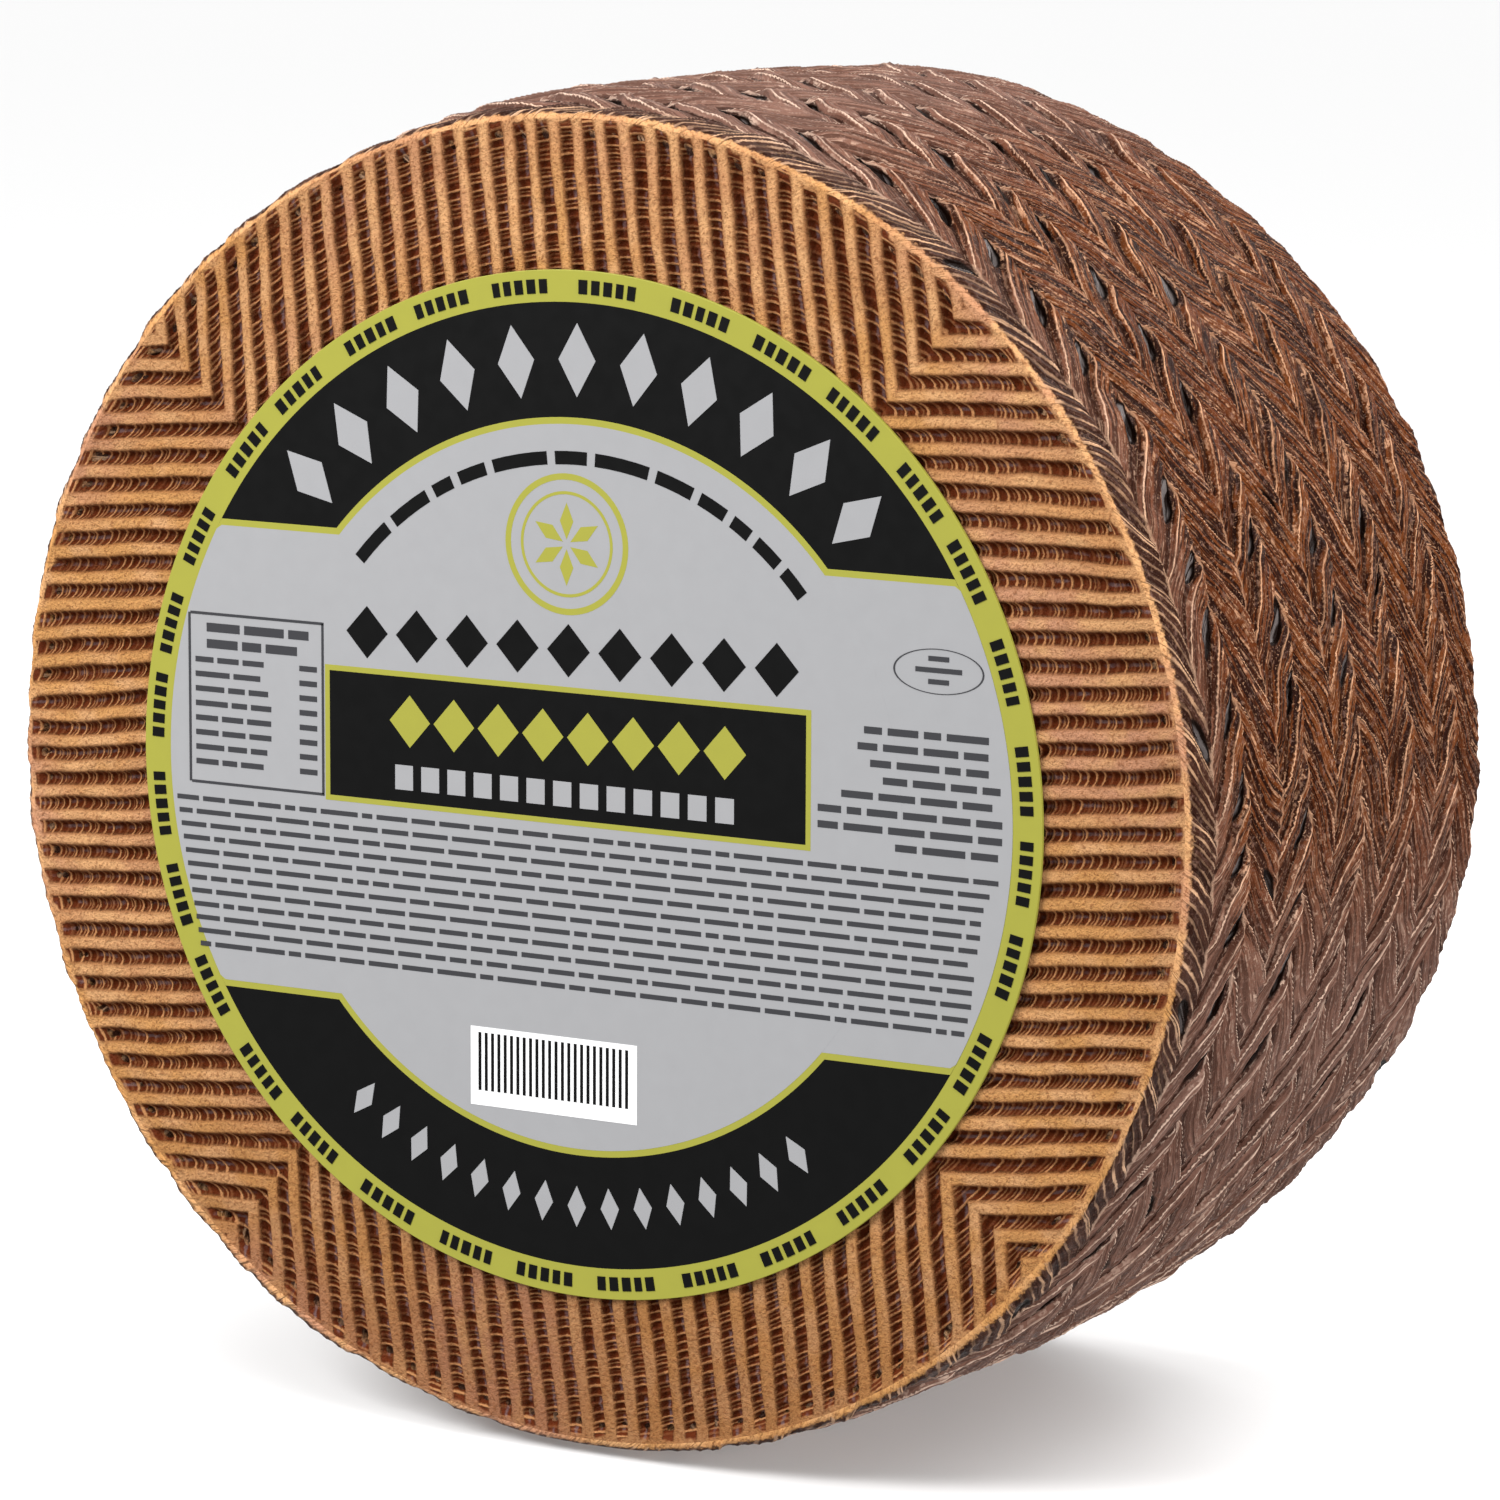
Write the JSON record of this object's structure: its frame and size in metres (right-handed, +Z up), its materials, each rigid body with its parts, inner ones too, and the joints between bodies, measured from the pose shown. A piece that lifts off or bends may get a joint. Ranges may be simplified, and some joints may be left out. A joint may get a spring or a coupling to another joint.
{
  "type": "cheese wheel",
  "caption": "Round pressed cheese wheel standing on its side, ribbed flat faces, plaited band round the side, round paper label on the front face.",
  "frame": {"origin": "middle of the small flat spot under the wheel, at the bottom centre of the whole part", "axes": "+Z up, +Y along the wheel's axis from the labelled face to the plain back face, +X to the right seen from the labelled face"},
  "size_m": [0.197, 0.098, 0.1958],
  "materials": {
    "rind": "waxed rind: tan ribs, dark brown grooves and side, low sheen",
    "label_paper": "printed paper, silver grey, black and lime, semi-gloss"
  },
  "bodies": {
    "root": {"cheese": "rind", "label": "label_paper"}
  },
  "joints": []
}
